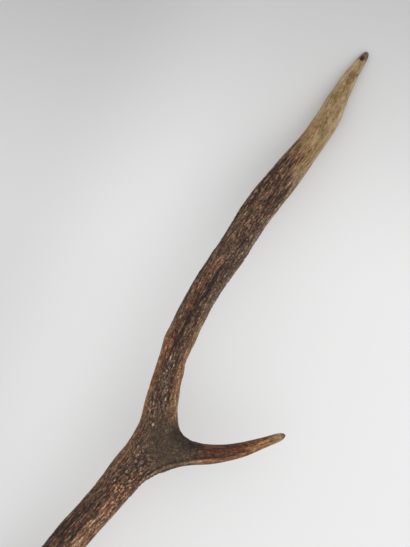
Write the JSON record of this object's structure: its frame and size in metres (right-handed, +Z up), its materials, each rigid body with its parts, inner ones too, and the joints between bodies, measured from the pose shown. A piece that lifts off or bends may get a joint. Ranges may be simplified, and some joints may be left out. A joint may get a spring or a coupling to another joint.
{
  "type": "stag antler",
  "caption": "Single red deer antler with coronet, brow tine, tray tine and one smooth point, lying on its hollow side.",
  "frame": {"origin": "on the table, under the middle of the antler's box", "axes": "+Y from the sawn base to the beam's point, +X to the side of the tines, +Z up from the table"},
  "size_m": [0.1986, 0.7506, 0.0949],
  "materials": {
    "antler_bone": "satin"
  },
  "bodies": {
    "root": {"lower_beam": "antler_bone", "upper_beam": "antler_bone", "tray_tine": "antler_bone", "brow_tine": "antler_bone"}
  },
  "joints": []
}
